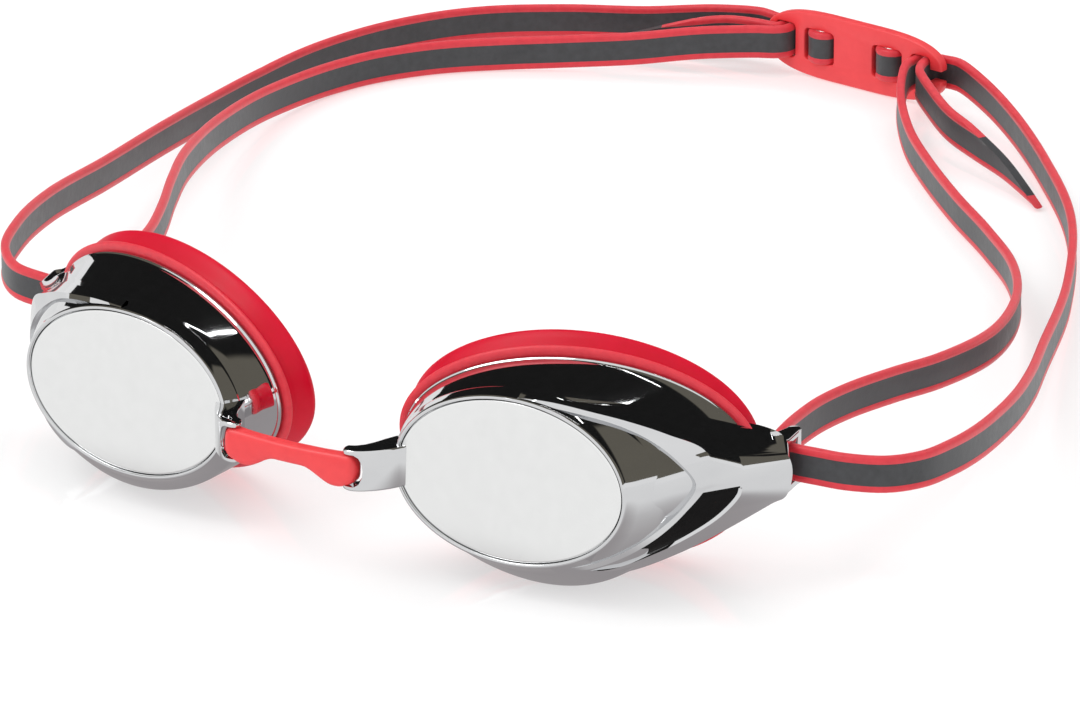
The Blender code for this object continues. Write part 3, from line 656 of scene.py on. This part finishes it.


for hand, route in HALVES.items():
    path = smooth_path(route, BAND_STEP)
    shape = bmesh.new()
    trim_layer = shape.verts.layers.float.new("edge")
    travelled = 0.0
    last = None
    for i, point in enumerate(path):
        before, after = path[max(i - 1, 0)], path[min(i + 1, len(path) - 1)]
        run = Vector((after.x - before.x, after.y - before.y, 0.0)).normalized()
        side = Vector((-run.y, run.x, 0.0))
        travelled += (point - before).length
        cut = max(0.0, 1 - travelled / TAIL_CUT)
        points, heights = section_ring(point, side, BAND_WIDTH * (0.5 - 0.96 * cut ** 1.3))
        edges = add_loop(shape, points)
        if last:
            bmesh.ops.bridge_loops(shape, edges=last + edges)
        shape.verts.ensure_lookup_table()
        for vertex, height in zip(shape.verts[-len(points):], heights):
            vertex[trim_layer] = 1.0 if abs(height) > TRIM_START else 0.0
        if last is None or i == len(path) - 1:
            bmesh.ops.edgenet_fill(shape, edges=edges)
        last = edges
    item = piece(f"strap_{hand}_half", shape, (band,), 50.0)
    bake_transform(item)
    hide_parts(*(f"{hand}_strap_{part}" for part in ("tail", "outer", "turn", "inner")))
    if hand == "left":
        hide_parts("strap_weave")


# ---------------------------------------------------------------------------------------------
# Rear clip.  A flat moulded plate in coral plastic: the band is threaded through its windows
# and end slots, and the fork at its right end lets the band out for adjusting.
# ---------------------------------------------------------------------------------------------
plastic = Finish("coral_plastic", Coat_Weight=0.2, Coat_Roughness=0.25)
swirl = plastic.noise(380.0, 4.0)
plastic.feed(Base_Color=plastic.mix(swirl, (0.80, 0.04, 0.05, 1.0), (0.92, 0.062, 0.07, 1.0)),
             Roughness=swirl * 0.15 + 0.34)
plastic.bump(plastic.noise(3800.0, 3.0), 0.00003, 0.3)
# The plate's middle lies a little to the left of the clip's own middle.
PLATE_MIDDLE = -0.7
PLATE_HALF_LENGTH = 19.3
PLATE_HALF_HEIGHT = 6.2
END_HALF_HEIGHT = 3.4
# Depth through the plate, and how far its outline draws in there, from front to rear.
ROUNDING = ((-1.0, 0.40), (-0.96, 0.22), (-0.85, 0.08), (-0.65, 0.0), (0.65, 0.0), (0.85, 0.08),
            (0.96, 0.22), (1.0, 0.40))
outline = []
for step in range(97):
    share = step / 48 - 1
    shoulder = math.sqrt(max(0.0, 1 - abs(share) ** 14))
    height = END_HALF_HEIGHT + (PLATE_HALF_HEIGHT - END_HALF_HEIGHT) * (1 - share ** 4)
    outline.append((PLATE_HALF_LENGTH * share, height * (0.55 + 0.45 * shoulder)))
outline += [(length, -height) for length, height in reversed(outline)]
plate = bmesh.new()
loft(plate, [[clip_point(PLATE_MIDDLE + length * (1 - inset / PLATE_HALF_LENGTH), depth,
                         height * (1 - inset / PLATE_HALF_HEIGHT)) for length, height in outline]
             for depth, inset in ROUNDING], capped=True)


def opening(low, high, half_height, corner=0.8):
    """A cutter for an opening between two places along the clip, with rounded corners."""
    cutter = bmesh.new()
    bmesh.ops.create_cube(cutter, size=1.0)
    bmesh.ops.transform(cutter, verts=cutter.verts,
                        matrix=Matrix.Diagonal((high - low, 6.0, 2 * half_height, 1.0)))
    through = [edge for edge in cutter.edges if abs(edge.verts[0].co.y - edge.verts[1].co.y) > 1.0]
    bmesh.ops.bevel(cutter, geom=through, offset=corner, offset_type="OFFSET", segments=5, profile=0.5,
                    affect="EDGES", material=-1)
    bmesh.ops.transform(cutter, verts=cutter.verts,
                        matrix=Matrix.Translation(clip_point((low + high) / 2, 0.0))
                        @ Matrix.Rotation(CLIP_YAW, 4, "Z"))
    return cutter


left_slot, right_slot = opening(-18.0, -13.8, 3.2), opening(11.8, 16.0, 3.2)
left_window, right_window = opening(-11.75, -5.25, 3.02), opening(3.25, 9.75, 3.02)
fork = opening(14.6, 20.3, 1.0, 0.3)
plate = carved(plate, left_slot, left_window, right_window, right_slot, fork)
bmesh.ops.dissolve_limit(plate, angle_limit=math.radians(1), verts=plate.verts, edges=plate.edges)
soften(plate, 60, 0.22, 2)
item = piece("rear_clip_plate", plate, (plastic,), 50.0)
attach(item, "root")
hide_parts("rear_clip")


# ---------------------------------------------------------------------------------------------
# Floor, light and camera.  A pale floor, an even pale surround with a dark upper back half that
# only mirrors see, soft lights from above, and a long lens from the front right.
# ---------------------------------------------------------------------------------------------
scene = bpy.context.scene


def stage_item(name, shape, finish, hidden_from, height=0.0):
    """Turns a bmesh in metres into a part of the stage that some kinds of ray don't see."""
    mesh = bpy.data.meshes.new(name)
    shape.to_mesh(mesh)
    shape.free()
    mesh.materials.append(finish.material)
    item = bpy.data.objects.new(name, mesh)
    scene.collection.objects.link(item)
    item.location.z = height
    for sight in hidden_from:
        setattr(item, "visible_" + sight, False)
    item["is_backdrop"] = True


def level_sheet(name, finish, height, hidden_from):
    sheet = bmesh.new()
    bmesh.ops.create_grid(sheet, x_segments=2, y_segments=2, size=6.0)
    stage_item(name, sheet, finish, hidden_from, height)


floor_finish = Finish("pale_floor", Base_Color=(0.58, 0.58, 0.58, 1.0), Emission_Strength=0.50,
                      Emission_Color=(1.0, 1.0, 1.0, 1.0))
floor_finish.feed(Roughness=floor_finish.noise(30.0) * 0.04 + 0.05)
level_sheet("floor", floor_finish, -0.0002, ("glossy",))
# What the plating mirrors of the floor: pale in front, and shaded in an ellipse under the cups.
SHADE_MIDDLE = (MIDDLE.x, MIDDLE.y + 0.031, 0.0)
SHADE_SCALE = (1 / 0.085, 1 / 0.035, 0.0)
mirrored_floor = Finish("mirrored_floor", Base_Color=(0.0, 0.0, 0.0, 1.0), Roughness=1.0,
                        Emission_Strength=1.0)
spread = mirrored_floor.node("ShaderNodeVectorMath", {"operation": "SUBTRACT"},
                             {0: mirrored_floor.place, 1: SHADE_MIDDLE})
spread = mirrored_floor.node("ShaderNodeVectorMath", {"operation": "MULTIPLY"},
                             {0: spread, 1: SHADE_SCALE})
spread = mirrored_floor.node("ShaderNodeVectorMath", {"operation": "LENGTH"}, {0: spread}, "Value")
mirrored_floor.feed(Emission_Color=mirrored_floor.mix(spread.over(1.05, 0.3), (0.36, 0.338, 0.343, 1.0),
                                                      (0.83, 0.83, 0.83, 1.0)))
level_sheet("mirrored_floor", mirrored_floor, -0.0004, ("camera", "diffuse", "shadow", "transmission"))

world = bpy.data.worlds.new("surround")
scene.world = world
world.use_nodes = True
world.node_tree.nodes["Background"].inputs["Color"].default_value = (1.0, 1.0, 1.0, 1.0)
world.node_tree.nodes["Background"].inputs["Strength"].default_value = 0.9

# The flag is part of a dome: black at the back, and a dim olive where it comes forward overhead.
FLAG_RADIUS = 2.6
FLAG_RISE = (5.0, 84.0)
FLAG_TURN = (-105.0, 100.0)
BLACK_FROM = 0.70
dark = Finish("dark_flag", Base_Color=(0.004, 0.004, 0.004, 1.0), Roughness=1.0, Emission_Strength=1.0)
behind = dark.node("ShaderNodeSeparateXYZ", {}, {0: dark.place}, "Y")
lit = (BLACK_FROM - behind).over(0.0, 0.06)
dark.feed(Emission_Color=dark.mix(lit, (0.0, 0.0, 0.0, 1.0), (0.12, 0.11, 0.088, 1.0)))
dome = bmesh.new()
bmesh.ops.create_uvsphere(dome, u_segments=96, v_segments=64, radius=FLAG_RADIUS)
outside = []
for face in dome.faces:
    way = face.calc_center_median().normalized()
    rise = math.degrees(math.asin(way.z))
    turn = math.degrees(math.atan2(way.x, way.y))
    if not (FLAG_RISE[0] < rise < FLAG_RISE[1] and FLAG_TURN[0] < turn < FLAG_TURN[1]):
        outside.append(face)
bmesh.ops.delete(dome, geom=outside, context="FACES")
stage_item("dark_flag", dome, dark, ("camera", "diffuse", "shadow", "transmission"))


def soft_light(name, place, aim, size, power):
    lamp = bpy.data.lights.new(name, "AREA")
    lamp.shape = "RECTANGLE"
    lamp.size, lamp.size_y = size
    lamp.energy = power
    light = bpy.data.objects.new(name, lamp)
    scene.collection.objects.link(light)
    light.location = place
    light.rotation_euler = (Vector(aim) - Vector(place)).to_track_quat("-Z", "Y").to_euler()
    return light


soft_light("overhead_strip", (0.0, 0.42, 1.10), (0.0, 0.0, 0.0), (0.5, 0.014), 0.18)
soft_light("fill", (-0.15, 0.75, 0.95), (0.0, 0.0, 0.0), (2.4, 0.3), 5.5).visible_glossy = False
soft_light("key", (-0.7, -0.9, 1.5), (0.0, 0.0, 0.0), (0.9, 0.9), 9.0)

CAMERA_TURN, CAMERA_RISE = math.radians(33.0), math.radians(22.0)
CAMERA_DISTANCE = 1.5
AIM_SIDEWAYS, AIM_UP = 0.03561, 0.01122
lens_middle = TO_ROW @ Vector((0.0, 0.0, 0.0))
back = Vector((math.sin(CAMERA_TURN) * math.cos(CAMERA_RISE), -math.cos(CAMERA_TURN) * math.cos(CAMERA_RISE),
               math.sin(CAMERA_RISE)))
sideways = Vector((math.cos(CAMERA_TURN), math.sin(CAMERA_TURN), 0.0))
camera = bpy.data.objects.new("camera", bpy.data.cameras.new("camera"))
scene.collection.objects.link(camera)
camera.location = lens_middle + back * CAMERA_DISTANCE
aim = lens_middle + sideways * AIM_SIDEWAYS + back.cross(sideways) * AIM_UP
camera.rotation_euler = (aim - camera.location).to_track_quat("-Z", "Y").to_euler()
camera.data.lens = 316.6
camera.data.sensor_width = 36.0
camera.data.clip_end = 20.0
scene.camera = camera
scene.view_settings.view_transform = "Standard"

low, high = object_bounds()
